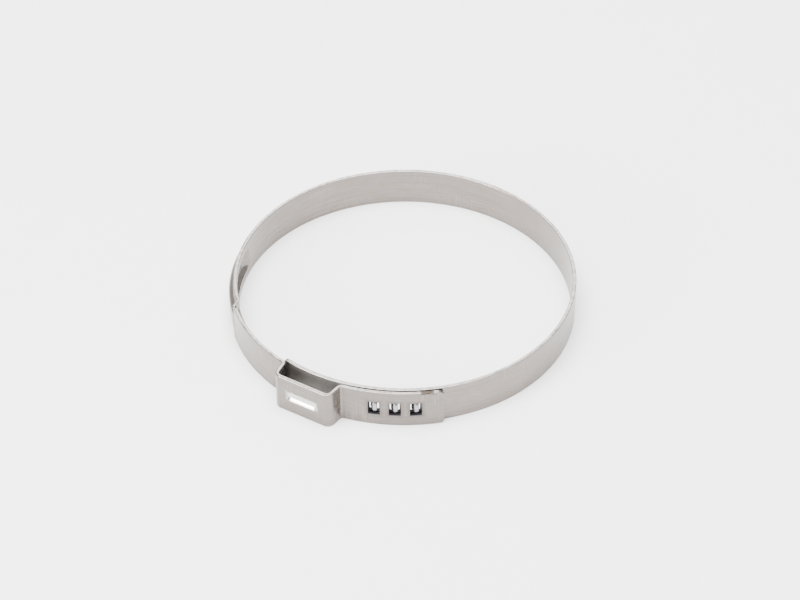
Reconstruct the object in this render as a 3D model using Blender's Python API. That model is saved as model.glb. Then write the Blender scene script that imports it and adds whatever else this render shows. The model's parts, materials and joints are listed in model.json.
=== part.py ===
"""Single-ear stepless hose clamp, stamped from one stainless strip.

Metres, +Z up. The clamp lies on its lower band edge at Z = 0, with the hose axis along +Z and
the ear towards -Y. Angles are in degrees, anticlockwise from +X about the ring axis.
The strip runs anticlockwise: inner end (hooks), ring, tongue channel, step, lap, ear, strap (windows).
Each solid is the stretch of strip between two bend lines, so that the clamp can close and unhook.
"""
from math import atan2, cos, degrees, radians, sin, sqrt

import bmesh
import bpy
from mathutils import Matrix, Vector

MM = 0.001

# ---- Driving dimensions ----
BORE_RADIUS = 37.0 * MM        # inside of the ring, before it is closed
STRIP_THICKNESS = 0.8 * MM
STRIP_WIDTH = 9.0 * MM
LAYER_GAP = 0.3 * MM           # between the inner end and the layer that laps over it
SECTION_GAP = 0.3 * MM         # between two neighbouring stretches of strip
BEND_GAP = 0.6 * MM            # the same, at a bend line that folds by tens of degrees
SIDE_CLEARANCE = 0.3 * MM      # around the tongue and around each hook

EAR_INNER_WIDTH = 13.0 * MM    # between the legs, at their feet
EAR_HEIGHT = 3.35 * MM         # crown above the lapped strip, outside to outside
LEG_LEAN = 6.0                 # degrees, each leg leans towards the other at the crown
FOOT_BEND = 1.0 * MM           # bend radii at mid-thickness
SHOULDER_BEND = 1.2 * MM
DIMPLE_LENGTH = 8.8 * MM
DIMPLE_WIDTH = 3.0 * MM        # across the bottom of the dimple
DIMPLE_DEPTH = 0.5 * MM
DIMPLE_SLOPE = 0.45 * MM

WINDOW_COUNT = 3
WINDOW_LENGTH = 2.4 * MM       # along the strip
WINDOW_WIDTH = 3.25 * MM
WINDOW_PITCH = 4.4 * MM
WINDOW_CORNER = 0.4 * MM
FOOT_TO_WINDOW = 5.4 * MM      # along the strap, ear foot to the first window
STRAP_BEYOND_WINDOWS = 4.8 * MM
STRAP_CORNER = 1.2 * MM        # rounding of the strap end's two corners
RELEASE_CLEARANCE = 0.6 * MM   # hook to window edge, on the strap-end side
HOOK_WIDTH = 2.4 * MM
HOOK_RISE = 0.7 * MM           # length of the ramp at the root of a hook

TONGUE_WIDTH = 3.0 * MM
TONGUE_ENGAGEMENT = 3.8 * MM   # how far the tongue reaches into the channel, past the step
FRONT_LAP = 5.5 * MM           # ear foot to the bend line where the clamp opens
REAR_LAP = 15.6 * MM
STEP_LENGTH = 2.0 * MM
CHANNEL_LENGTH = 21.7 * MM
CHANNEL_TAPER = 2.5 * MM       # run-out at the blind end of the channel
CHANNEL_WALL_SLOPE = 0.2 * MM
BAND_BEYOND_STRAP = 3.0 * MM   # inner end, from under the strap end to its bend line
BAND_BEYOND_CHANNEL = 2.6 * MM
RING_SECTIONS = 8              # stretches of plain ring between the two ends

ARC_STEP = 2.5                 # degrees per facet of a round stretch
BEND_STEPS = 4                 # facets in each half of an ear bend

# ---- Worked out from them ----
HALF_THICKNESS = STRIP_THICKNESS / 2
HALF_WIDTH = STRIP_WIDTH / 2
RING_RADIUS = BORE_RADIUS + HALF_THICKNESS             # mid-thickness of the ring
LAYER_LIFT = STRIP_THICKNESS + LAYER_GAP
LAP_RADIUS = RING_RADIUS + LAYER_LIFT                  # mid-thickness of the lapping layer
CROWN_Y = -(LAP_RADIUS + EAR_HEIGHT)                   # mid-thickness of the crown
RING_OUTER = RING_RADIUS + HALF_THICKNESS
CROWN_OUTER = -CROWN_Y + HALF_THICKNESS
RING_CENTRE = Vector((0.0, (CROWN_OUTER - RING_OUTER) / 2, 0.0))   # centres the outline on the origin
CLEAR_OF_STRIP = 4 * STRIP_THICKNESS                   # height of a cutter that goes right through

GROOVE_HALF = TONGUE_WIDTH / 2 + SIDE_CLEARANCE + CHANNEL_WALL_SLOPE
RIB_HALF = GROOVE_HALF + STRIP_THICKNESS
DIMPLE_HALF = (DIMPLE_WIDTH + DIMPLE_SLOPE) / 2


def polar(radius, angle):
    return Vector((radius * cos(radians(angle)), radius * sin(radians(angle))))


def turn(length, radius):
    """The angle of an arc, in degrees."""
    return degrees(length / radius)


# ---- The strip's route, as stations: a point at mid-thickness and the direction out of the ring ----
def arc_route(centre, radius, start, end, step=ARC_STEP, outward=1):
    """Stations along an arc. outward is -1 on a bend whose centre is outside the ring."""
    count = max(2, round(abs(end - start) / step))
    angles = [start + (end - start) * i / count for i in range(count + 1)]
    return [(centre + polar(radius, a), polar(1, a) * outward) for a in angles]


def ring_route(radius, start, end):
    return arc_route(Vector((0, 0)), radius, start, end)


def mirrored(route):
    """The same route on the other side of the ear, run in the opposite order."""
    flip = [(Vector((-p.x, p.y)), Vector((-n.x, n.y))) for p, n in route]
    return flip[::-1]


def ear_bends():
    """Right-hand side of the ear: the centres and end angles of the foot and shoulder bends."""
    lean = radians(LEG_LEAN)
    down = Vector((-sin(lean), -cos(lean)))            # along the leg, towards the crown
    side = Vector((cos(lean), -sin(lean)))             # out of the ear, square to the leg
    leg_start = Vector((EAR_INNER_WIDTH / 2 + HALF_THICKNESS, -LAP_RADIUS))
    # The foot bend touches the lap circle from outside and the leg from the strap's side.
    base = leg_start + side * FOOT_BEND
    reach = LAP_RADIUS + FOOT_BEND
    along = -base.dot(down) + sqrt(base.dot(down) ** 2 - base.length_squared + reach ** 2)
    foot_centre = base + down * along
    foot_angle = degrees(atan2(foot_centre.y, foot_centre.x))
    # The shoulder bend touches the leg and the crown from inside the ear.
    inner = leg_start - side * SHOULDER_BEND
    drop = (CROWN_Y + SHOULDER_BEND - inner.y) / down.y
    shoulder_centre = inner + down * drop
    return {
        "foot_centre": foot_centre,
        "foot_start": foot_angle + 180,                # where the bend leaves the lap circle
        "foot_end": 180 - LEG_LEAN,
        "shoulder_centre": shoulder_centre,
        "shoulder_start": -LEG_LEAN,
        "shoulder_end": -90.0,
        "foot_angle": foot_angle,
    }


EAR = ear_bends()
RIGHT_FOOT = EAR["foot_angle"]
LEFT_FOOT = -180.0 - RIGHT_FOOT
FOOT_MIDDLE = (EAR["foot_start"] + EAR["foot_end"]) / 2
SHOULDER_MIDDLE = (EAR["shoulder_start"] + EAR["shoulder_end"]) / 2

# Places along the strap, anticlockwise from the right foot
FIRST_WINDOW = RIGHT_FOOT + turn(FOOT_TO_WINDOW + WINDOW_LENGTH / 2, LAP_RADIUS)
WINDOW_ANGLES = [FIRST_WINDOW + turn(i * WINDOW_PITCH, LAP_RADIUS) for i in range(WINDOW_COUNT)]
STRAP_END = WINDOW_ANGLES[-1] + turn(WINDOW_LENGTH / 2 + STRAP_BEYOND_WINDOWS, LAP_RADIUS)
BAND_START = STRAP_END + turn(BAND_BEYOND_STRAP, RING_RADIUS)

# Places along the lap, clockwise from the left foot
OPENING_ANGLE = LEFT_FOOT - turn(FRONT_LAP, LAP_RADIUS)
STEP_TOP = OPENING_ANGLE - turn(REAR_LAP, LAP_RADIUS)
STEP_FOOT = STEP_TOP - turn(STEP_LENGTH, LAP_RADIUS)
CHANNEL_TIP = STEP_FOOT - turn(CHANNEL_LENGTH, LAP_RADIUS)
BAND_FINISH = CHANNEL_TIP - turn(BAND_BEYOND_CHANNEL, RING_RADIUS)
TONGUE_TIP = STEP_FOOT - turn(TONGUE_ENGAGEMENT, RING_RADIUS)
RING_TURN = (BAND_FINISH + 360 - BAND_START) / RING_SECTIONS


# ---- Cross-sections: (out of the ring, along Z) from the middle of the strip, going round ----
def plain_section(half_width=HALF_WIDTH):
    out = HALF_THICKNESS
    return [(out, half_width), (out, -half_width), (-out, -half_width), (-out, half_width)]


def ribbed_section(land, rib, outer_half, inner_half, slope):
    """A strip whose edges are lifted by land and whose middle is lifted by rib."""
    out, step = HALF_THICKNESS, slope / 2
    outer = [(land, HALF_WIDTH), (land, outer_half + step), (rib, outer_half - step)]
    inner = [(land, HALF_WIDTH), (land, inner_half + step), (rib, inner_half - step)]
    outer += [(lift, -across) for lift, across in outer[::-1]]
    inner += [(lift, -across) for lift, across in inner[::-1]]
    return [(out + lift, z) for lift, z in outer] + [(lift - out, z) for lift, z in inner[::-1]]


def channel_section(land, rib):
    return ribbed_section(land, rib, RIB_HALF, GROOVE_HALF, CHANNEL_WALL_SLOPE)


def crown_section(sink):
    return ribbed_section(0.0, -sink, DIMPLE_HALF, DIMPLE_HALF + STRIP_THICKNESS, DIMPLE_SLOPE)


# ---- Mesh tools ----
def sweep(route, sections):
    """A closed solid: one cross-section at each station, bridged to the next."""
    bm = bmesh.new()
    loops = []
    for (point, normal), section in zip(route, sections):
        verts = []
        for out, along in section:
            place = point + normal * out
            verts.append(bm.verts.new((place.x, place.y, HALF_WIDTH + along)))
        loops.append([bm.edges.new((verts[i - 1], verts[i])) for i in range(len(verts))])
    for one, other in zip(loops, loops[1:]):
        bmesh.ops.bridge_loops(bm, edges=one + other)
    for end in (loops[0], loops[-1]):
        bmesh.ops.edgeloop_fill(bm, edges=end)
    bmesh.ops.recalc_face_normals(bm, faces=bm.faces)
    return bm


def sweep_plain(route, half_width=HALF_WIDTH):
    return sweep(route, [plain_section(half_width)] * len(route))


def spun_arc(radius, start, end, half_width=HALF_WIDTH):
    """A plain round stretch: the strip's cross-section spun about the ring axis."""
    bm = bmesh.new()
    across, up = polar(1, start), Vector((0, 0, 1))
    verts = []
    for out, along in plain_section(half_width):
        place = across * (radius + out)
        verts.append(bm.verts.new(place.to_3d() + up * (HALF_WIDTH + along)))
    outline = [bm.edges.new((verts[i - 1], verts[i])) for i in range(len(verts))]
    bmesh.ops.spin(
        bm, geom=verts + outline, cent=(0, 0, 0), axis=up,
        angle=radians(end - start), steps=max(2, round((end - start) / ARC_STEP)),
    )
    bmesh.ops.holes_fill(bm, edges=[e for e in bm.edges if e.is_boundary])
    bmesh.ops.recalc_face_normals(bm, faces=bm.faces)
    return bm


def box_mesh(length, depth, height, corner):
    """A box with its four long edges (along X, through the strip) rounded."""
    bm = bmesh.new()
    bmesh.ops.create_cube(bm, size=1.0, matrix=Matrix.Diagonal((depth, length, height, 1)))
    rims = [e for e in bm.edges if abs((e.verts[0].co - e.verts[1].co).x) > depth / 2]
    bmesh.ops.bevel(bm, geom=rims, offset=corner, segments=2, affect="EDGES", profile=0.5)
    return bm


# ---- Objects ----
def steel(name, colour, roughness):
    material = bpy.data.materials.new(name)
    material.use_nodes = True
    shader = material.node_tree.nodes["Principled BSDF"]
    shader.inputs["Base Color"].default_value = (*colour, 1)
    shader.inputs["Metallic"].default_value = 1.0
    shader.inputs["Roughness"].default_value = roughness
    return material


def add_hinge(name, point, parent=None):
    """An empty on a bend line. Turning it about Z moves everything beyond it."""
    empty = bpy.data.objects.new(name, None)
    empty.empty_display_size = STRIP_WIDTH
    empty.parent = parent
    above = world_place(parent)
    empty.location = RING_CENTRE + point.to_3d() - above
    bpy.context.collection.objects.link(empty)
    return empty


def world_place(thing):
    place = Vector((0, 0, 0))
    while thing is not None:
        place += thing.location
        thing = thing.parent
    return place


def add_solid(name, bm, hinge, colour, roughness):
    """Makes the named object, with its origin on its hinge."""
    origin = world_place(hinge)
    bmesh.ops.translate(bm, vec=RING_CENTRE - origin, verts=bm.verts)
    mesh = bpy.data.meshes.new(name)
    bm.to_mesh(mesh)
    bm.free()
    mesh.shade_smooth()
    mesh.set_sharp_from_angle(angle=radians(30))
    mesh.materials.append(steel(name + "_steel", colour, roughness))
    thing = bpy.data.objects.new(name, mesh)
    thing.parent = hinge
    bpy.context.collection.objects.link(thing)
    return thing


def cut_rectangle(target, label, radius, angle, length, width, corner):
    """Cuts a rounded rectangle through the strip at an angle round the ring."""
    bm = box_mesh(length, CLEAR_OF_STRIP, width, corner)
    mesh = bpy.data.meshes.new(label)
    bm.to_mesh(mesh)
    bm.free()
    cutter = bpy.data.objects.new(label, mesh)
    cutter.hide_render = True
    cutter.display_type = "WIRE"
    cutter.parent = target.parent
    place = RING_CENTRE + polar(radius, angle).to_3d() + Vector((0, 0, HALF_WIDTH))
    cutter.location = place - world_place(target.parent)
    cutter.rotation_euler.z = radians(angle)
    bpy.context.collection.objects.link(cutter)
    boolean = target.modifiers.new(label, "BOOLEAN")
    boolean.operation = "DIFFERENCE"
    boolean.solver = "EXACT"
    boolean.object = cutter


BRIGHT = (0.60, 0.58, 0.56)
SATIN = (0.52, 0.50, 0.48)


def half_gap(gap, radius):
    return turn(gap / 2, radius)


def add_inner_end(base):
    """The end that lies under the strap and the ear: a band with a hole at each hook."""
    start = LEFT_FOOT + half_gap(SECTION_GAP, RING_RADIUS)
    end = BAND_START - half_gap(SECTION_GAP, RING_RADIUS)
    band = add_solid("inner_end", spun_arc(RING_RADIUS, start, end), base, SATIN, 0.35)
    for number, angle in enumerate(hook_angles(), 1):
        cut_rectangle(
            band, f"hook_hole_{number}", RING_RADIUS, angle,
            hook_length() + 2 * SIDE_CLEARANCE, HOOK_WIDTH + 2 * SIDE_CLEARANCE, WINDOW_CORNER,
        )


def hook_length():
    return WINDOW_LENGTH - SIDE_CLEARANCE - RELEASE_CLEARANCE


def hook_angles():
    """The middle of each hook: it stands nearer the ear's end of its window."""
    shift = (RELEASE_CLEARANCE - SIDE_CLEARANCE) / 2
    return [angle - turn(shift, LAP_RADIUS) for angle in WINDOW_ANGLES]


def add_hook(number, angle, base):
    """A tab lanced out of the band: a ramp from the band's own level, then a flat top."""
    reach = turn(hook_length() / 2, LAP_RADIUS)
    rise = turn(HOOK_RISE, LAP_RADIUS)
    root, top, tip = angle - reach, angle - reach + rise, angle + reach
    route = [(polar(r, a), polar(1, a)) for r, a in (
        (RING_RADIUS, root), (LAP_RADIUS, top), (LAP_RADIUS, (top + tip) / 2), (LAP_RADIUS, tip),
    )]
    add_solid(f"hook_{number}", sweep_plain(route, HOOK_WIDTH / 2), base, BRIGHT, 0.3)


def add_tongue(base):
    start = TONGUE_TIP
    end = LEFT_FOOT - half_gap(SECTION_GAP, RING_RADIUS)
    add_solid("tongue", spun_arc(RING_RADIUS, start, end, TONGUE_WIDTH / 2), base, SATIN, 0.4)


def add_ring(base):
    """The plain ring, section by section, each on the bend line before it. Returns the last hinge."""
    hinge = base
    for number in range(RING_SECTIONS):
        start = BAND_START + number * RING_TURN
        hinge = add_hinge(f"ring_hinge_{number + 1}", polar(RING_RADIUS, start), hinge)
        gap = half_gap(SECTION_GAP, RING_RADIUS)
        arc = spun_arc(RING_RADIUS, start + gap, start + RING_TURN - gap)
        add_solid(f"ring_arc_{number + 1}", arc, hinge, SATIN, 0.35)
    finish = BAND_START + RING_SECTIONS * RING_TURN
    return add_hinge(f"ring_hinge_{RING_SECTIONS + 1}", polar(RING_RADIUS, finish), hinge)


def add_channel(hinge):
    """The ring's last stretch, with a channel pressed outwards for the tongue."""
    gap = half_gap(SECTION_GAP, RING_RADIUS)
    route = ring_route(RING_RADIUS, BAND_FINISH + gap, CHANNEL_TIP)
    plain = len(route)
    taper = turn(CHANNEL_TAPER, LAP_RADIUS)
    route += ring_route(RING_RADIUS, CHANNEL_TIP + taper, STEP_FOOT - gap)
    sections = [channel_section(0.0, 0.0)] * plain
    sections += [channel_section(0.0, LAYER_LIFT)] * (len(route) - plain)
    add_solid("tongue_channel", sweep(route, sections), hinge, SATIN, 0.35)


def add_step(hinge):
    """The joggle: the strip's two edges rise from the ring's level to the lap's."""
    gap = half_gap(SECTION_GAP, LAP_RADIUS)
    route = ring_route(RING_RADIUS, STEP_FOOT + gap, STEP_TOP - gap)
    last = len(route) - 1
    sections = [channel_section(LAYER_LIFT * i / last, LAYER_LIFT) for i in range(last + 1)]
    add_solid("lap_step", sweep(route, sections), hinge, BRIGHT, 0.3)


def add_rear_lap(hinge):
    start = STEP_TOP + half_gap(SECTION_GAP, LAP_RADIUS)
    end = OPENING_ANGLE - half_gap(BEND_GAP, LAP_RADIUS)
    add_solid("rear_lap", spun_arc(LAP_RADIUS, start, end), hinge, SATIN, 0.35)


def foot_half(first):
    """The half of the right foot bend next to the strap (first) or next to the leg."""
    gap = half_gap(BEND_GAP, FOOT_BEND)
    start, end = EAR["foot_start"], FOOT_MIDDLE - gap
    if not first:
        start, end = FOOT_MIDDLE + gap, EAR["foot_end"]
    step = abs(end - start) / BEND_STEPS
    return arc_route(EAR["foot_centre"], FOOT_BEND, start, end, step, -1)


def shoulder_half(first):
    """The half of the right shoulder bend next to the leg (first) or next to the crown."""
    gap = half_gap(BEND_GAP, SHOULDER_BEND)
    start, end = EAR["shoulder_start"], SHOULDER_MIDDLE + gap
    if not first:
        start, end = SHOULDER_MIDDLE - gap, EAR["shoulder_end"]
    step = abs(end - start) / BEND_STEPS
    return arc_route(EAR["shoulder_centre"], SHOULDER_BEND, start, end, step)


def leg_route():
    """The right leg, from the middle of its foot bend to the middle of its shoulder bend."""
    return foot_half(first=False) + shoulder_half(first=True)


def add_front_lap(hinge):
    start = OPENING_ANGLE + half_gap(BEND_GAP, LAP_RADIUS)
    route = ring_route(LAP_RADIUS, start, LEFT_FOOT)[:-1] + mirrored(foot_half(first=True))[::-1]
    add_solid("front_lap", sweep_plain(route), hinge, SATIN, 0.35)


def add_left_leg(hinge):
    add_solid("ear_leg_left", sweep_plain(mirrored(leg_route())), hinge, BRIGHT, 0.3)


def add_crown(hinge):
    """The flat top of the ear, with a dimple pressed into it."""
    half = DIMPLE_LENGTH / 2
    normal = Vector((0, -1))
    right = shoulder_half(first=False)
    across = [half, half - DIMPLE_DEPTH, 0.0, DIMPLE_DEPTH - half, -half]
    sinks = [0.0, DIMPLE_DEPTH, DIMPLE_DEPTH, DIMPLE_DEPTH, 0.0]
    flat = [(Vector((x, CROWN_Y)), normal) for x in across]
    route = right + flat + mirrored(right)
    ends = [crown_section(0.0)] * len(right)
    sections = ends + [crown_section(sink) for sink in sinks] + ends
    add_solid("ear_crown", sweep(route, sections), hinge, BRIGHT, 0.3)


def add_right_leg(hinge):
    add_solid("ear_leg_right", sweep_plain(leg_route()), hinge, BRIGHT, 0.3)


def add_strap(hinge):
    """The outer end: it leaves the right foot, and its windows drop over the hooks."""
    corner = turn(STRAP_CORNER, LAP_RADIUS)
    plain = ring_route(LAP_RADIUS, STRAP_END - corner, RIGHT_FOOT)[:-1]
    rounding, sections = [], []
    for quarter in (90, 67.5, 45, 22.5):
        back = 1 - sin(radians(quarter))
        inset = STRAP_CORNER * (1 - cos(radians(quarter)))
        angle = STRAP_END - corner * back
        rounding.append((polar(LAP_RADIUS, angle), polar(1, angle)))
        sections.append(plain_section(HALF_WIDTH - inset))
    foot = foot_half(first=True)
    sections += [plain_section()] * (len(plain) + len(foot))
    strap = add_solid("strap", sweep(rounding + plain + foot, sections), hinge, SATIN, 0.35)
    for number, angle in enumerate(WINDOW_ANGLES, 1):
        cut_rectangle(
            strap, f"window_{number}", LAP_RADIUS, angle, WINDOW_LENGTH, WINDOW_WIDTH, WINDOW_CORNER,
        )


def bend_point(centre, radius, angle, side):
    """A bend line of the ear, at mid-thickness. side is -1 for the left."""
    point = centre + polar(radius, angle)
    return Vector((point.x * side, point.y))


def build():
    for thing in list(bpy.data.objects):
        bpy.data.objects.remove(thing, do_unlink=True)
    base = add_hinge("ring_centre", Vector((0, 0)))
    add_inner_end(base)
    for number, angle in enumerate(hook_angles(), 1):
        add_hook(number, angle, base)
    add_tongue(base)
    tail = add_ring(base)
    add_channel(tail)
    add_step(tail)
    add_rear_lap(tail)
    foot, shoulder = EAR["foot_centre"], EAR["shoulder_centre"]
    opening = add_hinge("opening_hinge", polar(LAP_RADIUS, OPENING_ANGLE), tail)
    add_front_lap(opening)
    left_foot = add_hinge("left_foot_hinge", bend_point(foot, FOOT_BEND, FOOT_MIDDLE, -1), opening)
    add_left_leg(left_foot)
    left_top = bend_point(shoulder, SHOULDER_BEND, SHOULDER_MIDDLE, -1)
    left_shoulder = add_hinge("left_shoulder_hinge", left_top, left_foot)
    add_crown(left_shoulder)
    right_top = bend_point(shoulder, SHOULDER_BEND, SHOULDER_MIDDLE, 1)
    right_shoulder = add_hinge("right_shoulder_hinge", right_top, left_shoulder)
    add_right_leg(right_shoulder)
    right_foot = add_hinge("right_foot_hinge", bend_point(foot, FOOT_BEND, FOOT_MIDDLE, 1), right_shoulder)
    add_strap(right_foot)


build()
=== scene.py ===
import json
from bisect import bisect_right
from math import atan2, ceil, cos, degrees, pi, radians, sin, sqrt

import bmesh
import bpy
import numpy as np
from mathutils import Matrix, Vector


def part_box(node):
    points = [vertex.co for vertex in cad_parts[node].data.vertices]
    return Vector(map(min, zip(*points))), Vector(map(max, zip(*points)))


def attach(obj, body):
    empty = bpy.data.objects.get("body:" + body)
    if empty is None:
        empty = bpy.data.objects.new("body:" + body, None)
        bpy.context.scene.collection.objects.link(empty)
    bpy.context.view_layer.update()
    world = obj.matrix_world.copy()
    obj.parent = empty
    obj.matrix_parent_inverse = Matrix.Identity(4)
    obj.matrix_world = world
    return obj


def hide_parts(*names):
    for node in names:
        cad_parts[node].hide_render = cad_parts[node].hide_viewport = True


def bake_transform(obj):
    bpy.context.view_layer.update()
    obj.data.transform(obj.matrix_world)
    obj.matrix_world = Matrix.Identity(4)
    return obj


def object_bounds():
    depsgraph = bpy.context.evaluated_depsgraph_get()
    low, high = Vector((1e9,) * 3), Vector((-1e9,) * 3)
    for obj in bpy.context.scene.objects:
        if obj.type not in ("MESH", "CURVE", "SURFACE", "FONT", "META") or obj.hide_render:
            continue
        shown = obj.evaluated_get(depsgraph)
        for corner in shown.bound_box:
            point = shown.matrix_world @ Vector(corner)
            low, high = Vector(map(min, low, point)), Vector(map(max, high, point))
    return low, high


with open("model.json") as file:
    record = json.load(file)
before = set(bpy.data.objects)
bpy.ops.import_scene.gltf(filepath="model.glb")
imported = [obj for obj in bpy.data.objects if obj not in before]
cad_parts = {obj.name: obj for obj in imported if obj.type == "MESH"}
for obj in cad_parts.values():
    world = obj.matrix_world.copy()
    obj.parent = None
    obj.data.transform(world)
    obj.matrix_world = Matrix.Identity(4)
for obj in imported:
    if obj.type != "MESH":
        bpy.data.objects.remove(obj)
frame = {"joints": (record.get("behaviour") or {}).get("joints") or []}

cad_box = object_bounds()
MM = 0.001

# ---- Sizes from the frame ----
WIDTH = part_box("strap")[1].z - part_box("strap")[0].z
RING_OUTER = (cad_box[1].x - cad_box[0].x) / 2
CENTRE = Vector((0.0, cad_box[1].y - RING_OUTER))
CROWN_OUTER = CENTRE.y - cad_box[0].y
HALF_WIDTH = WIDTH / 2
HINGES = {joint["name"]: Vector(joint["pos_m"]) for joint in frame["joints"]}
RING_HINGE_COUNT = sum(name.startswith("ring_bend_") for name in HINGES)

# ---- Sizes of the strip ----
THICKNESS = 0.8 * MM
LAYER_GAP = 0.3 * MM
EDGE_ROUND = 0.14 * MM          # rounding of the slit and die-cut edges
EDGE_SEGMENTS = 3
EAR_INNER_WIDTH = 13.0 * MM
LEG_LEAN = 6.0                  # degrees
FOOT_BEND = 1.0 * MM
SHOULDER_BEND = 1.2 * MM
WINDOW_COUNT = 3
WINDOW_LENGTH = 2.4 * MM
WINDOW_WIDTH = 3.25 * MM
WINDOW_PITCH = 4.4 * MM
WINDOW_CORNER = 0.35 * MM
FOOT_TO_WINDOW = 5.4 * MM
STRAP_BEYOND_WINDOWS = 4.8 * MM
STRAP_CORNER = 1.3 * MM
HOOK_CLEARANCE = 0.3 * MM
RELEASE_CLEARANCE = 0.6 * MM
HOOK_WIDTH = 2.5 * MM
HOOK_THICKNESS = 0.7 * MM
HOOK_CROWNING = 0.35 * MM       # fall of a hook's long edges below its middle line
HOOK_ARCH = 0.4 * HOOK_CROWNING  # fall of its two ends
HOOK_RISE = (-0.1, 0.55)        # where it rises, as shares of its length
TONGUE_WIDTH = 3.0 * MM
TONGUE_CORNER = 0.7 * MM
SHOULDER_FILLET = 0.8 * MM      # where the tongue meets the full width
TONGUE_ENGAGEMENT = 3.8 * MM
FRONT_LAP = 5.5 * MM
REAR_LAP = 15.6 * MM
STEP_LENGTH = 2.0 * MM
CHANNEL_LENGTH = 21.7 * MM
CHANNEL_TAPER = 3.2 * MM
CHANNEL_HALF = 2.25 * MM        # middle of the channel's side walls
CHANNEL_WALL = 1.1 * MM         # width that a side wall takes
DIMPLE_LENGTH = 8.8 * MM
DIMPLE_WIDTH = 3.3 * MM
DIMPLE_DEPTH = 0.55 * MM
DIMPLE_WALL = 1.25 * MM
COARSE_STEP = 1.0 * MM          # spacing of the fold lines round the ring
BEND_STEP = 0.12 * MM           # the same, in the ear's bends
EMBOSS_STEP = 0.25 * MM
CHANNEL_WALL_STEPS = 6
DIMPLE_WALL_STEPS = 5
END_MARGIN = 0.3 * MM           # from the strip's ends to the first fold line
LEAST_STEP = 0.05 * MM          # fold lines closer than this are merged
CUT_TOLERANCE = 1e-7            # metres
RIM_ANGLE = 80.0                # degrees; edges sharper than this are rounded
HINGE_SPAN = 6.0 * MM           # half-length of the span round each of the ring's end hinges
RING_SPAN_SHARE = 0.5           # the same between them, as a share of the stretch
OPENING_SPAN = 1.0 * MM
BEND_SPAN = 0.75 * MM
MAP_UNIT = 10 * MM              # length of strip that one unit of the texture map stands for

HALF_THICKNESS = THICKNESS / 2
RING_RADIUS = RING_OUTER - HALF_THICKNESS
LAYER_LIFT = THICKNESS + LAYER_GAP
LAP_RADIUS = RING_RADIUS + LAYER_LIFT
CROWN_Y = -(CROWN_OUTER - HALF_THICKNESS)
DIMPLE_REACH = (DIMPLE_LENGTH + DIMPLE_WALL) / 2
DIMPLE_REACH_ACROSS = (DIMPLE_WIDTH + DIMPLE_WALL) / 2


# ---- Route ----
def turn(length, radius):
    return degrees(length / radius)


def arc_length(angle, radius):
    return radians(angle) * radius


def ear_shape():
    """Where the right foot leaves the lap circle, the turns of the bends and the straight lengths."""
    lean = radians(LEG_LEAN)
    down = Vector((-sin(lean), -cos(lean)))
    side = Vector((cos(lean), -sin(lean)))
    top = Vector((EAR_INNER_WIDTH / 2 + HALF_THICKNESS, -LAP_RADIUS))
    base = top + side * FOOT_BEND
    reach = LAP_RADIUS + FOOT_BEND
    along = -base.dot(down) + sqrt(base.dot(down) ** 2 - base.length_squared + reach ** 2)
    centre = base + down * along
    foot = degrees(atan2(centre.y, centre.x))
    inner = top - side * SHOULDER_BEND
    drop = (CROWN_Y + SHOULDER_BEND - inner.y) / down.y
    return {
        "foot": foot,
        "foot_turn": (180 - LEG_LEAN) - (foot + 180),
        "leg": drop - along,
        "shoulder_turn": 90 - LEG_LEAN,
        "crown": 2 * (inner + down * drop).x,
    }


EAR = ear_shape()
RIGHT_FOOT = EAR["foot"]
LEFT_FOOT = -180.0 - RIGHT_FOOT
OPENING_ANGLE = LEFT_FOOT - turn(FRONT_LAP, LAP_RADIUS)
STEP_TOP = OPENING_ANGLE - turn(REAR_LAP, LAP_RADIUS)
STEP_FOOT = STEP_TOP - turn(STEP_LENGTH, LAP_RADIUS)
CHANNEL_TIP = STEP_FOOT - turn(CHANNEL_LENGTH, LAP_RADIUS)
TONGUE_TIP = STEP_FOOT - turn(TONGUE_ENGAGEMENT, RING_RADIUS)


class Route:
    """The strip's middle line, as arcs and straights. place(u) gives its point and heading at u."""

    def __init__(self, point, heading):
        self.starts, self.parts, self.length = [], [], 0.0
        self.point, self.heading = point, heading

    def add(self, length, bend=0.0):
        """Adds a stretch that turns left by bend degrees. Returns where it starts, in u."""
        start = self.length
        self.starts.append(start)
        self.parts.append((self.point.copy(), self.heading, length, radians(bend)))
        self.length += length
        self.point, self.heading = self.walk(self.parts[-1], length)
        return start

    @staticmethod
    def walk(part, distance):
        point, heading, length, bend = part
        if abs(bend) < 1e-9:
            return point + Vector((cos(heading), sin(heading))) * distance, heading
        radius = length / bend
        later = heading + bend * distance / length
        shift = Vector((sin(later) - sin(heading), cos(heading) - cos(later))) * radius
        return point + shift, later

    def place(self, u):
        index = max(0, bisect_right(self.starts, u) - 1)
        point, heading = self.walk(self.parts[index], u - self.starts[index])
        return point, heading


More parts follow.
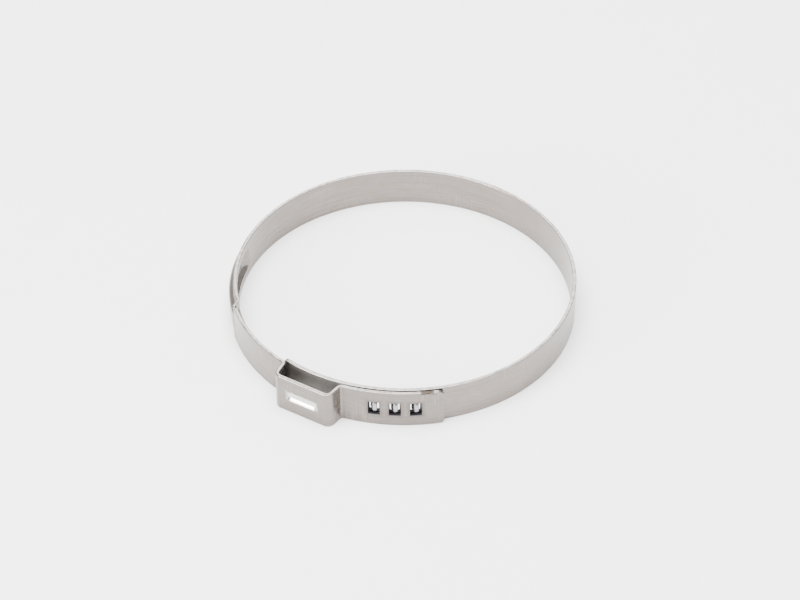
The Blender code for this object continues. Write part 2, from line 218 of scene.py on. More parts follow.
def build_route():
    """Lays the route and returns it with the u of each feature."""
    start = radians(TONGUE_TIP)
    point = CENTRE + Vector((cos(start), sin(start))) * RING_RADIUS
    route = Route(point, start + pi / 2)
    ring_turn = STEP_TOP + 360 - TONGUE_TIP
    route.add(arc_length(ring_turn, RING_RADIUS), ring_turn)
    route.point = CENTRE + (route.point - CENTRE).normalized() * LAP_RADIUS
    marks = {"lap": route.add(arc_length(LEFT_FOOT - STEP_TOP, LAP_RADIUS), LEFT_FOOT - STEP_TOP)}
    foot = arc_length(EAR["foot_turn"], FOOT_BEND)
    shoulder = arc_length(EAR["shoulder_turn"], SHOULDER_BEND)
    marks["left_foot"] = route.add(foot, -EAR["foot_turn"])
    marks["left_leg"] = route.add(EAR["leg"])
    marks["left_shoulder"] = route.add(shoulder, EAR["shoulder_turn"])
    marks["crown"] = route.add(EAR["crown"])
    marks["right_shoulder"] = route.add(shoulder, EAR["shoulder_turn"])
    marks["right_leg"] = route.add(EAR["leg"])
    marks["right_foot"] = route.add(foot, -EAR["foot_turn"])
    reach = FOOT_TO_WINDOW + WINDOW_COUNT * WINDOW_PITCH - (WINDOW_PITCH - WINDOW_LENGTH)
    strap = reach + STRAP_BEYOND_WINDOWS
    marks["strap"] = route.add(strap, turn(strap, LAP_RADIUS))
    return route, marks


ROUTE, MARK = build_route()


def ring_u(angle):
    """u of an angle on the ring, from the tongue's tip anticlockwise to the step."""
    return arc_length((angle - TONGUE_TIP) % 360, RING_RADIUS)


def lap_u(angle):
    return MARK["lap"] + arc_length(angle - STEP_TOP, LAP_RADIUS)


TONGUE_END = ring_u(LEFT_FOOT)
WINDOWS = [
    MARK["strap"] + FOOT_TO_WINDOW + WINDOW_LENGTH / 2 + i * WINDOW_PITCH for i in range(WINDOW_COUNT)
]
HOOK_LENGTH = WINDOW_LENGTH - HOOK_CLEARANCE - RELEASE_CLEARANCE
HOOK_SHIFT = (RELEASE_CLEARANCE - HOOK_CLEARANCE) / 2


def under_strap(u):
    """u on the inner end below a u on the strap."""
    return ring_u(RIGHT_FOOT + turn(u - MARK["strap"], LAP_RADIUS))


HOOKS = [under_strap(window - HOOK_SHIFT) for window in WINDOWS]
CHANNEL_START = ring_u(CHANNEL_TIP)
STEP_START = MARK["lap"] - arc_length(STEP_TOP - STEP_FOOT, RING_RADIUS)
CROWN_MIDDLE = MARK["crown"] + EAR["crown"] / 2


# ---- Emboss: how far the press lifts the blank outwards ----
def smooth(value, low, high):
    t = np.clip((value - low) / (high - low), 0.0, 1.0)
    return t * t * (3 - 2 * t)


def strip_lift(u, v):
    across = np.abs(v)
    wall = 1 - smooth(across, CHANNEL_HALF - CHANNEL_WALL / 2, CHANNEL_HALF + CHANNEL_WALL / 2)
    rib = wall * smooth(u, CHANNEL_START, CHANNEL_START + CHANNEL_TAPER)
    joggle = smooth(u, STEP_START, MARK["lap"])
    on_ring = u < MARK["lap"]
    channel = LAYER_LIFT * np.maximum(rib, joggle) * on_ring
    half = DIMPLE_LENGTH / 2
    edge = DIMPLE_WIDTH / 2
    # distance to the dimple's rounded-slot outline
    past = np.maximum(np.abs(u - CROWN_MIDDLE) - (half - edge), 0.0)
    outline = edge - np.hypot(past, across)
    return channel - DIMPLE_DEPTH * smooth(outline, 0.0, DIMPLE_WALL)


def hook_lift(u, v):
    """A lanced tab: it rises from the band, arches over its middle and stays up at its free end."""
    along = (u + HOOK_LENGTH / 2) / HOOK_LENGTH
    crowning = HOOK_CROWNING * (2 * v / HOOK_WIDTH) ** 2
    return LAYER_LIFT * smooth(along, *HOOK_RISE) - crowning - HOOK_ARCH * (2 * along - 1) ** 2


# ---- Die-cut blank ----
def corner(centre, radius, start, end, steps=5):
    angles = [radians(start + (end - start) * i / steps) for i in range(steps + 1)]
    return [(centre[0] + radius * cos(a), centre[1] + radius * sin(a)) for a in angles]


def rounded_rectangle(middle, length, width, radius):
    x, y = length / 2 - radius, width / 2 - radius
    points = []
    for sx, sy, start in ((1, 1, 0), (-1, 1, 90), (-1, -1, 180), (1, -1, 270)):
        points += corner((middle + sx * x, sy * y), radius, start, start + 90)
    return points


def strip_outline():
    """The blank's edge: narrow tongue, shoulder, full width, rounded strap end."""
    tongue, end = TONGUE_WIDTH / 2, ROUTE.length
    half = corner((TONGUE_CORNER, tongue - TONGUE_CORNER), TONGUE_CORNER, 180, 90)
    fillet = (TONGUE_END - SHOULDER_FILLET, tongue + SHOULDER_FILLET)
    half += corner(fillet, SHOULDER_FILLET, 270, 360)
    half += corner((TONGUE_END + SHOULDER_FILLET, HALF_WIDTH - SHOULDER_FILLET), SHOULDER_FILLET, 180, 90)
    half += corner((end - STRAP_CORNER, HALF_WIDTH - STRAP_CORNER), STRAP_CORNER, 90, 0)
    return half + [(u, -v) for u, v in half[::-1]]


def cut_blank(outline, holes, thickness, edge_round):
    """A flat plate with the outline and the holes, its edges rounded."""
    bm = bmesh.new()
    rims = []
    for points in [outline] + holes:
        verts = [bm.verts.new((u, v, thickness / 2)) for u, v in points]
        rims += [bm.edges.new((verts[i - 1], verts[i])) for i in range(len(verts))]
    bmesh.ops.triangle_fill(bm, use_beauty=True, use_dissolve=False, edges=rims, normal=(0, 0, 1))
    made = bmesh.ops.extrude_face_region(bm, geom=bm.faces[:])
    lower = [item for item in made["geom"] if isinstance(item, bmesh.types.BMVert)]
    bmesh.ops.translate(bm, vec=(0, 0, -thickness), verts=lower)
    bmesh.ops.recalc_face_normals(bm, faces=bm.faces)
    sharp = [e for e in bm.edges if len(e.link_faces) == 2 and e.calc_face_angle() > radians(RIM_ANGLE)
             and abs(e.verts[0].co.z - e.verts[1].co.z) < thickness / 4]
    bmesh.ops.bevel(
        bm, geom=sharp, offset=edge_round, segments=EDGE_SEGMENTS, profile=0.5, affect="EDGES",
    )
    return bm


def score(bm, places, axis, inside=None):
    """Adds fold lines across the plate at the given places along an axis (0 for u, 1 for v).

    The plate is halved at the middle place, then each half by itself, so each cut meets few faces.
    """
    normal = Vector((0, 0, 0))
    normal[axis] = 1

    def halve(faces, marks):
        if not marks or not faces:
            return
        middle = len(marks) // 2
        geom = {item for face in faces for item in (face, *face.verts, *face.edges)}
        point = normal * marks[middle]
        cut = bmesh.ops.bisect_plane(
            bm, geom=list(geom), dist=CUT_TOLERANCE, plane_co=point, plane_no=normal,
        )
        faces = [item for item in cut["geom"] if isinstance(item, bmesh.types.BMFace)]
        below = [f for f in faces if f.calc_center_median()[axis] < marks[middle]]
        above = [f for f in faces if f.calc_center_median()[axis] >= marks[middle]]
        halve(below, marks[:middle])
        halve(above, marks[middle + 1:])

    faces = bm.faces[:]
    if inside is not None:
        faces = [f for f in faces if inside[0] < f.calc_center_median().x < inside[1]]
    halve(faces, sorted(places))


def spread(start, end, step):
    count = max(1, ceil((end - start) / step))
    return [start + (end - start) * i / count for i in range(count + 1)]


def flat_arrays(bm):
    """The plate's vertices, faces and corner normals, with wide faces kept flat."""
    mesh = bpy.data.meshes.new("blank")
    bm.to_mesh(mesh)
    bm.free()
    mesh.shade_smooth()
    plate = bpy.data.objects.new("blank", mesh)
    bpy.context.scene.collection.objects.link(plate)
    weigh = plate.modifiers.new("weigh", "WEIGHTED_NORMAL")
    weigh.mode = "FACE_AREA"
    weigh.weight = 80
    graph = bpy.context.evaluated_depsgraph_get()
    final = bpy.data.meshes.new_from_object(plate.evaluated_get(graph))
    verts = np.empty(len(final.vertices) * 3)
    final.vertices.foreach_get("co", verts)
    normals = np.empty(len(final.loops) * 3, np.float32)
    final.corner_normals.foreach_get("vector", normals)
    faces = [tuple(polygon.vertices) for polygon in final.polygons]
    bpy.data.objects.remove(plate)
    bpy.data.meshes.remove(final)
    bpy.data.meshes.remove(mesh)
    return verts.reshape(-1, 3), faces, normals.reshape(-1, 3).astype(float)


def press_and_roll(flat, faces, normals, lift, place):
    """Embosses the plate and rolls it along a route: the new points and corner normals."""
    u, v, w = flat.T
    corners = np.array([vertex for face in faces for vertex in face])
    small = 0.01 * MM
    raised = w + lift(u, v)
    slope_u = (lift(u + small, v) - lift(u - small, v)) / (2 * small)
    slope_v = (lift(u, v + small) - lift(u, v - small)) / (2 * small)
    frames = np.array([[p.x, p.y, cos(h), sin(h)] for p, h in (place(value) for value in u)])
    x, y, heading_x, heading_y = frames.T
    points = np.stack([x + heading_y * raised, y - heading_x * raised, v + HALF_WIDTH], 1)
    nu = normals[:, 0] - slope_u[corners] * normals[:, 2]
    nv = normals[:, 1] - slope_v[corners] * normals[:, 2]
    nw = normals[:, 2]
    hx, hy = heading_x[corners], heading_y[corners]
    rolled = np.stack([hx * nu + hy * nw, hy * nu - hx * nw, nv], 1)
    return points, rolled / np.linalg.norm(rolled, axis=1)[:, None]


# ---- Pieces ----
def open_rims(faces):
    """The loops of edges that belong to one face only, as tuples of vertices."""
    following = {}
    seen = {(a, b) for face in faces for a, b in zip(face, face[1:] + face[:1])}
    for a, b in seen:
        if (b, a) not in seen:
            following[b] = a
    rims = []
    while following:
        first, nxt = following.popitem()
        rim = [first]
        while nxt != first:
            rim.append(nxt)
            nxt = following.pop(nxt)
        rims.append(tuple(rim))
    return rims


def make_piece(name, points, flat, faces, normals, material):
    """A closed mesh from some of the strip's faces, with its cut ends filled."""
    used = sorted({v for face in faces for v in face})
    renumber = {old: new for new, old in enumerate(used)}
    faces = [tuple(renumber[v] for v in face) for face in faces]
    caps = open_rims(faces)
    mesh = bpy.data.meshes.new(name)
    mesh.from_pydata([tuple(p) for p in points[used]], [], faces + caps)
    first_cap = len(faces)
    mesh.shade_smooth()
    layer = mesh.uv_layers.new(name="strip")
    corners = np.empty(len(mesh.loops), int)
    mesh.loops.foreach_get("vertex_index", corners)
    layer.data.foreach_set("uv", (flat[used][corners][:, :2] / MAP_UNIT).astype(np.float32).ravel())
    cap_normals = [list(mesh.polygons[first_cap + i].normal) for i, cap in enumerate(caps) for _ in cap]
    if cap_normals:
        normals = np.vstack([normals, cap_normals])
    mesh.normals_split_custom_set([tuple(n) for n in normals])
    mesh.materials.append(material)
    piece = bpy.data.objects.new(name, mesh)
    bpy.context.scene.collection.objects.link(piece)
    return piece


def fold_lines():
    """Every u at which the blank gets a line across, close together where it bends or is embossed."""
    lines = spread(END_MARGIN, CHANNEL_START, COARSE_STEP)
    lines += spread(CHANNEL_START, CHANNEL_START + CHANNEL_TAPER, EMBOSS_STEP)
    lines += spread(CHANNEL_START + CHANNEL_TAPER, STEP_START, COARSE_STEP)
    lines += spread(STEP_START, MARK["lap"], EMBOSS_STEP)
    lines += spread(MARK["lap"], MARK["left_foot"], COARSE_STEP)
    for bend, after in (("left_foot", "left_leg"), ("left_shoulder", "crown"),
                        ("right_shoulder", "right_leg"), ("right_foot", "strap")):
        lines += spread(MARK[bend], MARK[after], BEND_STEP)
    lines += spread(CROWN_MIDDLE - DIMPLE_REACH, CROWN_MIDDLE + DIMPLE_REACH, EMBOSS_STEP)
    lines += spread(MARK["strap"], ROUTE.length - END_MARGIN, COARSE_STEP)
    return lines


def tidy_lines(lines, fixed):
    """Sorted lines without near doubles. The fixed ones always stay."""
    kept = []
    for value in sorted(set(lines) - set(fixed)):
        if all(abs(value - other) > LEAST_STEP for other in kept[-1:] + list(fixed)):
            kept.append(value)
    return sorted(kept + list(fixed))


def hinge_angle(name):
    place = HINGES[name].to_2d() - CENTRE
    return degrees(atan2(place.y, place.x))


def ring_stretches():
    """One row for each ring hinge: piece name, the cut after it in u, bodies, nodes, blend span, slot."""
    middle_ones = range(1, RING_HINGE_COUNT)
    hinges = [ring_u(hinge_angle(f"ring_bend_{i + 1}")) for i in range(RING_HINGE_COUNT)]
    names = ["inner_band", *(f"ring_band_{i}" for i in middle_ones)]
    names[-1] = "channel_band"
    bodies = ["inner_end", *(f"ring_{i}" for i in middle_ones), "tail"]
    nodes = [["inner_end", "tongue"], *([f"ring_arc_{i}"] for i in middle_ones),
             ["tongue_channel", "lap_step", "rear_lap"]]
    cuts = [(first + second) / 2 for first, second in zip(hinges, hinges[1:])]
    cuts.append((MARK["lap"] + lap_u(OPENING_ANGLE)) / 2)
    rows = []
    for i, (name, hinge, cut) in enumerate(zip(names, hinges, cuts)):
        span = HINGE_SPAN
        if name.startswith("ring_band"):
            span = min(cut - hinge, hinge - hinges[i - 1]) * RING_SPAN_SHARE
        rows.append((name, cut, bodies[i:i + 2], nodes[i] + nodes[i + 1], (hinge, span), "band_steel"))
    return rows


def ear_stretches():
    """The same rows for the lap, the ear and the strap."""
    opening = lap_u(OPENING_ANGLE)
    rows = [("lap_band", (opening + MARK["left_foot"]) / 2, ("tail", "front_lap"),
             ["rear_lap", "front_lap"], (opening, OPENING_SPAN), "band_steel")]
    bends = (
        ("left_foot", "left_leg", ("front_lap", "left_leg"), ["front_lap", "ear_leg_left"],
         MARK["left_leg"] + EAR["leg"] / 2, "ear_foot_left"),
        ("left_shoulder", "crown", ("left_leg", "crown"), ["ear_leg_left", "ear_crown"],
         (MARK["crown"] + CROWN_MIDDLE - DIMPLE_REACH) / 2, "ear_shoulder_left"),
        ("right_shoulder", "right_leg", ("crown", "right_leg"), ["ear_crown", "ear_leg_right"],
         MARK["right_leg"] + EAR["leg"] / 2, "ear_crown_top"),
        ("right_foot", "strap", ("right_leg", "strap"), ["ear_leg_right", "strap"],
         ROUTE.length, "strap_band"),
    )
    for bend, after, bodies, nodes, cut, name in bends:
        middle = (MARK[bend] + MARK[after]) / 2
        slot = "strap_steel" if name == "strap_band" else "ear_steel"
        rows.append((name, cut, bodies, nodes, (middle, BEND_SPAN), slot))
    return rows


def build_strip(steel):
    rows = ring_stretches() + ear_stretches()
    cuts = [row[1] for row in rows[:-1]]
    holes = [rounded_rectangle(u, WINDOW_LENGTH, WINDOW_WIDTH, WINDOW_CORNER) for u in WINDOWS]
    lance = HOOK_LENGTH + 2 * HOOK_CLEARANCE
    holes += [
        rounded_rectangle(u, lance, HOOK_WIDTH + 2 * HOOK_CLEARANCE, WINDOW_CORNER) for u in HOOKS
    ]
    bm = cut_blank(strip_outline(), holes, THICKNESS, EDGE_ROUND)
    score(bm, tidy_lines(fold_lines(), cuts), 0)
    wall = spread(CHANNEL_HALF - CHANNEL_WALL / 2, CHANNEL_HALF + CHANNEL_WALL / 2,
                  CHANNEL_WALL / CHANNEL_WALL_STEPS)
    score(bm, [side * v for v in wall for side in (-1, 1)], 1, (CHANNEL_START, MARK["lap"]))
    wall = spread(-DIMPLE_REACH_ACROSS, DIMPLE_REACH_ACROSS, DIMPLE_WALL / DIMPLE_WALL_STEPS)
    score(bm, wall, 1, (CROWN_MIDDLE - DIMPLE_REACH, CROWN_MIDDLE + DIMPLE_REACH))
    flat, faces, normals = flat_arrays(bm)
    points, normals = press_and_roll(flat, faces, normals, strip_lift, ROUTE.place)
    loop_start = np.cumsum([0] + [len(face) for face in faces])
    middles = np.array([flat[list(face), 0].mean() for face in faces])
    start = -1.0
    for name, end, bodies, nodes, (hinge, span), slot in rows:
        chosen = np.nonzero((middles > start) & (middles <= end))[0]
        loops = np.concatenate([np.arange(loop_start[i], loop_start[i + 1]) for i in chosen])
        piece = make_piece(
            name, points, flat, [faces[i] for i in chosen], normals[loops], steel[slot],
        )
        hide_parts(*nodes)
        ends = [ROUTE.place(hinge + side * span)[0].to_3d() for side in (-1, 1)]
        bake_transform(piece)
        start = end


def build_hooks(material):
    for number, middle in enumerate(HOOKS, 1):
        outline = rounded_rectangle(0.0, HOOK_LENGTH, HOOK_WIDTH, WINDOW_CORNER)
        bm = cut_blank(outline, [], HOOK_THICKNESS, EDGE_ROUND)
        score(bm, spread(-HOOK_LENGTH / 2, HOOK_LENGTH / 2, EDGE_ROUND)[2:-2], 0)
        score(bm, spread(-HOOK_WIDTH / 2, HOOK_WIDTH / 2, EDGE_ROUND)[2:-2], 1)
        flat, faces, normals = flat_arrays(bm)
        points, normals = press_and_roll(
            flat, faces, normals, hook_lift, lambda u: ROUTE.place(middle + u),
        )
        piece = make_piece(f"hook_tab_{number}", points, flat, faces, normals, material)
        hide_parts(f"hook_{number}")
        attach(piece, "inner_end")


# ---- Materials: inside the shaders, lengths on the strip are in millimetres ----
STAIN_FROM_END = 3.6 * MM
STAIN_LENGTH = 2.6 * MM
STAIN_WIDTH = 0.6 * MM
HIGHLIGHT_RIM = 0.5 * MM          # from the dimple's outline in to its painted highlight
HALO_WIDTH = 1.2 * MM           # of painted shade round a window
WEAR_START = 0.2 * MM           # in from the strip's edges
WEAR_FULL = 0.02 * MM
# where the painted light on the inner end's outer face under the ear rises and fades
BRIGHTENING_START = 6.0 * MM        # before the tongue's shoulder
BRIGHTENING_FULL = 2.0 * MM
BRIGHTENING_FADE = 4.0 * MM         # past the ear's right foot
STREAK_DARK = 0.74
STREAK_PALE = 1.22
WARM_TINT = (0.98, 0.91, 0.84)


class Graph:
    """Short ways to add nodes to a tree. The methods return output sockets."""

    def __init__(self, tree):
        self.tree = tree

    def node(self, kind, values, output=0, **settings):
        node = self.tree.nodes.new(kind)
        for key, value in settings.items():
            setattr(node, key, value)
        for key, value in values.items():
            if isinstance(value, bpy.types.NodeSocket):
                self.tree.links.new(value, node.inputs[key])
            else:
                node.inputs[key].default_value = value
        return node.outputs[output]

    def math(self, operation, *values, clamp=False):
        return self.node("ShaderNodeMath", dict(enumerate(values)), operation=operation, use_clamp=clamp)

    def noise(self, vector, stretch, detail=3.0):
        """Noise from 0 to 1. Stretch is in cycles per millimetre along, across and through."""
        scaled = self.node("ShaderNodeVectorMath", {0: vector, 1: stretch}, operation="MULTIPLY")
        return self.node("ShaderNodeTexNoise", {"Vector": scaled, "Scale": 1.0, "Detail": detail}, "Fac")

    def ramp(self, value, low, high, out_low=0.0, out_high=1.0):
        values = {"Value": value, 1: low, 2: high, 3: out_low, 4: out_high}
        return self.node("ShaderNodeMapRange", values, interpolation_type="SMOOTHSTEP")

    def split(self, vector):
        """The three components of a vector."""
        node = self.tree.nodes.new("ShaderNodeSeparateXYZ")
        self.tree.links.new(vector, node.inputs[0])
        return node.outputs

    def mix(self, factor, first, second):
        """Mixes two colours."""
        values = {"Factor": factor, 6: first, 7: second}
        return self.node("ShaderNodeMix", values, 2, data_type="RGBA")


def make_group(name, inputs, outputs, build):
    """A node group with float or vector sockets. build(graph, inputs) returns the outputs in order."""
    group = bpy.data.node_groups.new(name, "ShaderNodeTree")
    for label, kind in inputs:
        group.interface.new_socket(label, in_out="INPUT", socket_type=kind)
    for label in outputs:
        group.interface.new_socket(label, in_out="OUTPUT", socket_type="NodeSocketFloat")
    entry = group.nodes.new("NodeGroupInput")
    leave = group.nodes.new("NodeGroupOutput")
    for index, value in enumerate(build(Graph(group), entry.outputs)):
        group.links.new(value, leave.inputs[index])
    return group


def rolled_grain(graph, inputs):
    """Streaks along the strip, scuffs across it and soft mottling."""
    place = inputs["Place"]
    streak = graph.noise(place, (0.05, 5.0, 1.0), 4.0)
    scuff = graph.ramp(graph.noise(place, (3.2, 0.16, 1.0), 4.0), 0.5, 0.72)
    patch = graph.ramp(graph.noise(place, (0.07, 0.12, 1.0)), 0.42, 0.6)
    mottle = graph.noise(place, (0.35, 0.5, 1.0), 5.0)
    return streak, graph.math("MULTIPLY", scuff, patch), mottle


def slot_distance(graph, place, middle, half_length, half_width):
    """Distance in millimetres outside a rectangle on the strip, seen flat."""
    parts = graph.split(place)
    sides = []
    for socket, centre, half in ((0, middle[0], half_length), (1, middle[1], half_width)):
        away = graph.math("ABSOLUTE", graph.math("SUBTRACT", parts[socket], centre))
        sides.append(graph.math("SUBTRACT", away, half))
    return graph.math("MAXIMUM", *sides)


def nearest_slot(graph, place, middles, length, width):
    """Distance in millimetres to the nearest of some rectangles in a row along the strip."""
    nearest = None
    for middle in middles:
        away = slot_distance(graph, place, (middle / MM, 0.0), length / 2 / MM, width / 2 / MM)
        nearest = away if nearest is None else graph.math("MINIMUM", nearest, away)
    return nearest


def window_wall_shade(graph, inputs):
    """Painted shade: dark walls in the punched windows, and a fainter ragged dark halo round them."""
    nearest = nearest_slot(graph, inputs["Place"], WINDOWS, WINDOW_LENGTH, WINDOW_WIDTH)
    wall = graph.ramp(nearest, EDGE_ROUND / MM * 0.4, EDGE_ROUND / MM, 1.0, 0.0)
    ragged = graph.math("MULTIPLY", graph.noise(inputs["Place"], (1.2, 1.2, 1.0)), 1.6)
    halo = graph.math("MULTIPLY", graph.ramp(nearest, 0.0, HALO_WIDTH / MM, 0.4, 0.0), ragged)
    return [graph.math("MAXIMUM", wall, halo)]


def lance_slot_shade(graph, inputs):
    """Painted shade in the slots that the hooks are lanced from."""
    nearest = nearest_slot(graph, inputs["Place"], HOOKS, HOOK_LENGTH, HOOK_WIDTH)
    return [graph.ramp(nearest, HOOK_CLEARANCE / MM, 2 * HOOK_CLEARANCE / MM, 1.0, 0.0)]


def hook_root_shade(graph, inputs):
    """Painted shade on a hook's low root and on its lower side. Place is measured from the hook's middle.
    """
    along, across = graph.split(inputs["Place"])[:2]
    length, width = HOOK_LENGTH / MM, HOOK_WIDTH / MM
    root = graph.ramp(along, -0.38 * length, -0.12 * length, 1.0, 0.0)
    side = graph.ramp(across, -0.42 * width, -0.2 * width, 1.0, 0.0)
    return [graph.math("MAXIMUM", root, side)]


def rim_wear(graph, inputs):
    """Burnished long edges, broken up by nicks."""
    across = graph.math("ABSOLUTE", graph.split(inputs["Place"])[1])
    edge = graph.ramp(across, (HALF_WIDTH - WEAR_START) / MM, (HALF_WIDTH - WEAR_FULL) / MM)
    broken = graph.ramp(graph.noise(inputs["Place"], (0.8, 1.5, 1.0), 4.0), 0.3, 0.6, 0.45, 1.0)
    return [graph.math("MULTIPLY", edge, broken)]


def end_stain(graph, inputs):
    """A brown rub on the strap's edge close to its end."""
    middle = ((ROUTE.length - STAIN_FROM_END) / MM, HALF_WIDTH / MM)
    away = slot_distance(
        graph, inputs["Place"], middle, STAIN_LENGTH / 2 / MM, STAIN_WIDTH / 2 / MM,
    )
    ragged = graph.noise(inputs["Place"], (1.6, 2.2, 1.0), 5.0)
    return [graph.ramp(graph.math("ADD", away, graph.math("MULTIPLY", ragged, 1.6)), 0.6, 1.1, 1.0, 0.0)]


def dimple_highlight(graph, inputs):
    """Painted highlight on the floor of the crown's dimple."""
    middle = (CROWN_MIDDLE / MM, 0.0)
    away = slot_distance(
        graph, inputs["Place"], middle,
        (DIMPLE_LENGTH / 2 - HIGHLIGHT_RIM) / MM, (DIMPLE_WIDTH / 2 - HIGHLIGHT_RIM) / MM,
    )
    ragged = graph.math("MULTIPLY", graph.noise(inputs["Place"], (0.9, 1.4, 1.0), 4.0), 0.5)
    return [graph.ramp(graph.math("ADD", away, ragged), -0.35, 0.6, 1.0, 0.0)]


def under_ear_brightening(graph, inputs):
    """Painted light: a lighter outer face of the inner end below the ear."""
    along = graph.split(inputs["Place"])[0]
    end = ring_u(RIGHT_FOOT)
    rise = graph.ramp(along, (TONGUE_END - BRIGHTENING_START) / MM, (TONGUE_END - BRIGHTENING_FULL) / MM)
    fall = graph.ramp(along, end / MM, (end + BRIGHTENING_FADE) / MM, 1.0, 0.0)
    surface = graph.tree.nodes.new("ShaderNodeNewGeometry").outputs
    out = graph.node("ShaderNodeVectorMath", {0: surface["Position"], 1: (*CENTRE, HALF_WIDTH)},
                     operation="SUBTRACT")
    out = graph.node("ShaderNodeVectorMath", {0: out}, operation="NORMALIZE")
    facing = graph.node("ShaderNodeVectorMath", {0: out, 1: surface["Normal"]}, "Value",
                        operation="DOT_PRODUCT")
    outer = graph.ramp(facing, 0.1, 0.4)
    return [graph.math("MULTIPLY", graph.math("MULTIPLY", rise, fall), outer)]


PLACE = [("Place", "NodeSocketVector")]
GROUPS = {
    "grain": make_group("rolled_grain", PLACE, ["Streak", "Scuff", "Mottle"], rolled_grain),
    "window_shade": make_group("window_wall_shade", PLACE, ["Grime"], window_wall_shade),
    "wear": make_group("rim_wear", PLACE, ["Wear"], rim_wear),
    "stain": make_group("end_stain", PLACE, ["Stain"], end_stain),
    "lance": make_group("lance_slot_shade", PLACE, ["Grime"], lance_slot_shade),
    "root": make_group("hook_root_shade", PLACE, ["Grime"], hook_root_shade),
    "highlight": make_group("dimple_highlight", PLACE, ["Burnish"], dimple_highlight),
    "under_ear_light": make_group("under_ear_brightening", PLACE, ["Shelter"], under_ear_brightening),
}


def use_group(graph, key, place):
    node = graph.tree.nodes.new("ShaderNodeGroup")
    node.node_tree = GROUPS[key]
    graph.tree.links.new(place, node.inputs[0])
    return node.outputs


def make_material(name):
    material = bpy.data.materials.new(name)
    material.use_nodes = True
    graph = Graph(material.node_tree)
    return material, graph, material.node_tree.nodes["Principled BSDF"]


SCUFF_COLOUR = (0.34, 0.32, 0.3, 1.0)
# near-black painted shade, for the window walls, the lance slots and the hooks' roots
SHADE_COLOUR = (0.035, 0.033, 0.04, 1.0)
# What is laid on the steel, real wear and stain and painted light, shade and highlight: the strength and
# colour of each group's mask, and how much rougher it is.
LAYERS = {
    "wear": (0.4, (0.45, 0.43, 0.41, 1.0), -0.1),
    "highlight": (0.85, (0.62, 0.61, 0.6, 1.0), -0.05),
    "under_ear_light": (0.8, (0.44, 0.43, 0.41, 1.0), 0.15),
    "lance": (0.9, SHADE_COLOUR, 0.3),
    "root": (0.9, SHADE_COLOUR, 0.3),
    "stain": (0.85, (0.06, 0.04, 0.028, 1.0), 0.35),
    "window_shade": (0.92, SHADE_COLOUR, 0.35),
}


def make_steel(name, tone, roughness, streaks, scuffs, shift, layers):
    """Rolled stainless strip. Tone is its mean colour; streaks and scuffs are strengths, 0 to 1.

    Shift moves the grain, so that no two steels have the same. Layers are named from the lowest up.
    """
    material, graph, shader = make_material(name)
    uv = graph.node("ShaderNodeUVMap", {}, uv_map="strip")
    to_millimetres = (MAP_UNIT / MM,) * 3
    place = graph.node("ShaderNodeVectorMath", {0: uv, 1: to_millimetres}, operation="MULTIPLY")
    offset = graph.node("ShaderNodeVectorMath", {0: place, 1: (0.0, 0.0, shift)}, operation="ADD")
    streak, scuff, mottle = use_group(graph, "grain", offset)
    dark = tuple(c * STREAK_DARK for c in tone) + (1.0,)
    pale = tuple(c * STREAK_PALE for c in tone) + (1.0,)
    warm = tuple(c * tint for c, tint in zip(tone, WARM_TINT)) + (1.0,)
    softness = 0.4 / (streaks + 0.5)
    colour = graph.mix(graph.ramp(streak, 0.5 - softness, 0.5 + softness), dark, pale)
    colour = graph.mix(graph.ramp(mottle, 0.42, 0.68, 0.0, 0.75), colour, warm)
    colour = graph.mix(graph.math("MULTIPLY", scuff, scuffs), colour, SCUFF_COLOUR)
    rough = graph.math("ADD", graph.ramp(streak, 0.3, 0.7, roughness - 0.06, roughness + 0.06),
                       graph.math("MULTIPLY", scuff, 0.14 * scuffs))
    for key in layers:
        strength, layer_colour, rougher = LAYERS[key]
        mask = use_group(graph, key, place)[0]
        colour = graph.mix(graph.math("MULTIPLY", mask, strength), colour, layer_colour)
        rough = graph.math("ADD", rough, graph.math("MULTIPLY", mask, rougher), clamp=True)
    height = graph.math("ADD", graph.math("MULTIPLY", streak, 0.5 + streaks),
                        graph.math("MULTIPLY", scuff, scuffs))
    height = graph.math("ADD", height, graph.math("MULTIPLY", mottle, 0.6))
    bump = graph.node("ShaderNodeBump", {"Height": height, "Strength": 0.35, "Distance": 0.02 * MM})
    for value, socket in ((colour, "Base Color"), (rough, "Roughness"), (bump, "Normal")):
        graph.tree.links.new(value, shader.inputs[socket])
    shader.inputs["Metallic"].default_value = 1.0
    return material


STEEL = {
    "band_steel": make_steel(
        "rolled_band_steel", tone=(0.2, 0.179, 0.165), roughness=0.3, streaks=0.8, scuffs=0.25,
        shift=0.0, layers=("wear", "under_ear_light", "lance"),
    ),
    "ear_steel": make_steel(
        "pressed_ear_steel", tone=(0.19, 0.172, 0.159), roughness=0.27, streaks=0.4, scuffs=0.1,
        shift=7.0, layers=("wear", "highlight"),
    ),
    "strap_steel": make_steel(
        "strap_end_steel", tone=(0.185, 0.168, 0.156), roughness=0.29, streaks=0.5, scuffs=0.4,
        shift=13.0, layers=("wear", "stain", "window_shade"),
    ),
    # The hooks' tone, paler than the band steel they are lanced from, is painted light on their domes.
    "hook_steel": make_steel(
        "lanced_hook_steel", tone=(0.34, 0.335, 0.35), roughness=0.4, streaks=0.2, scuffs=0.1,
        shift=19.0, layers=("wear", "root"),
    ),
}
build_strip(STEEL)
build_hooks(STEEL["hook_steel"])


# ---- Floor, lights, camera ----
FLOOR_SIZE = 6.0
WORLD_STRENGTH = 1.15
LIGHT_DISTANCE = 0.9
CAMERA_AZIMUTH = 31.3           # degrees, and so are the next two
CAMERA_ELEVATION = 40.7
CAMERA_ROLL = -0.33
CAMERA_DISTANCE = 13.5 * RING_OUTER
CAMERA_LENS = 103.5             # focal length and sensor width are in millimetres
CAMERA_SENSOR = 36.0
AIM_RIGHT = -1.1 * MM           # from the ring's middle to the middle of the view
AIM_UP = -2.37 * MM


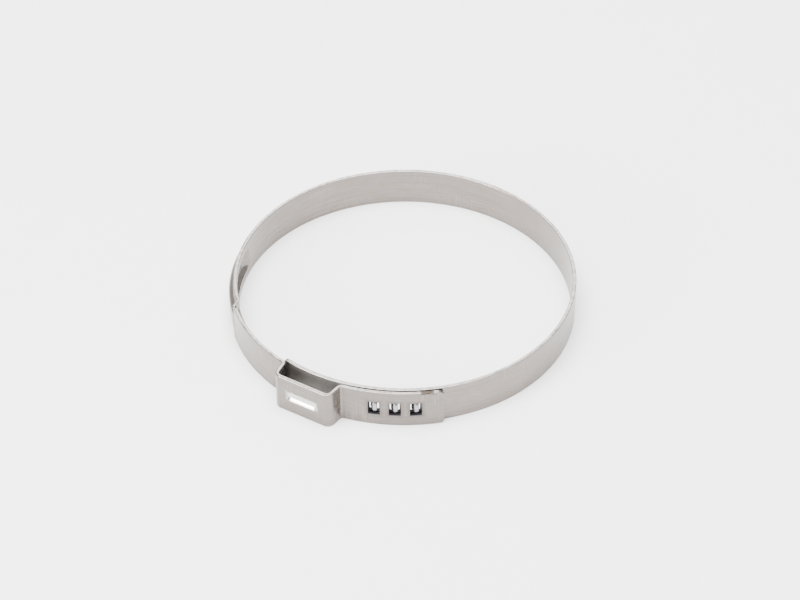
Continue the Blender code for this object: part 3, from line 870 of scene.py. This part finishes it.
def build_stage():
    bpy.ops.mesh.primitive_plane_add(size=FLOOR_SIZE, location=(0, 0, 0))
    floor = bpy.context.object
    floor.name = "floor"
    paper, graph, shader = make_material("white_paper")
    place = graph.node("ShaderNodeTexCoord", {}, "Object")
    fibre = graph.node("ShaderNodeTexNoise", {"Vector": place, "Scale": 60.0, "Detail": 4.0}, "Fac")
    tone = graph.mix(fibre, (0.93, 0.93, 0.93, 1), (0.96, 0.96, 0.96, 1))
    graph.tree.links.new(tone, shader.inputs["Base Color"])
    shader.inputs["Roughness"].default_value = 0.8
    shader.inputs["Specular IOR Level"].default_value = 0.1
    floor.data.materials.append(paper)
    world = bpy.data.worlds.new("studio")
    world.use_nodes = True
    background = world.node_tree.nodes["Background"]
    background.inputs["Color"].default_value = (1.0, 1.0, 1.0, 1)
    background.inputs["Strength"].default_value = WORLD_STRENGTH
    bpy.context.scene.world = world


def direction(azimuth, elevation):
    """A unit vector away from the clamp. Azimuth is in degrees from -Y, anticlockwise from above."""
    a, e = radians(azimuth), radians(elevation)
    return Vector((sin(a) * cos(e), -cos(a) * cos(e), sin(e)))


def add_softbox(name, azimuth, elevation, size, watts):
    light = bpy.data.lights.new(name, "AREA")
    light.shape = "DISK"
    light.size = size
    light.energy = watts
    lamp = bpy.data.objects.new(name, light)
    way = direction(azimuth, elevation)
    lamp.location = way * LIGHT_DISTANCE
    lamp.rotation_mode = "QUATERNION"
    lamp.rotation_quaternion = way.to_track_quat("Z", "Y")
    bpy.context.scene.collection.objects.link(lamp)


def build_camera():
    camera = bpy.data.objects.new("camera", bpy.data.cameras.new("camera"))
    camera.data.lens = CAMERA_LENS
    camera.data.sensor_width = CAMERA_SENSOR
    back = direction(CAMERA_AZIMUTH, CAMERA_ELEVATION)
    right = direction(CAMERA_AZIMUTH + 90, 0)
    up = back.cross(right)
    target = Vector((CENTRE.x, CENTRE.y, HALF_WIDTH)) + right * AIM_RIGHT + up * AIM_UP
    camera.location = target + back * CAMERA_DISTANCE
    facing = Matrix((right, up, back)).transposed()
    camera.rotation_euler = (facing @ Matrix.Rotation(radians(CAMERA_ROLL), 3, "Z")).to_euler()
    bpy.context.scene.collection.objects.link(camera)
    bpy.context.scene.camera = camera


build_stage()
add_softbox("overhead_light", azimuth=0, elevation=84, size=0.9, watts=36)
add_softbox("rim_light", azimuth=211, elevation=41, size=0.35, watts=2.2)
add_softbox("front_light", azimuth=-24, elevation=14, size=0.4, watts=16)
build_camera()
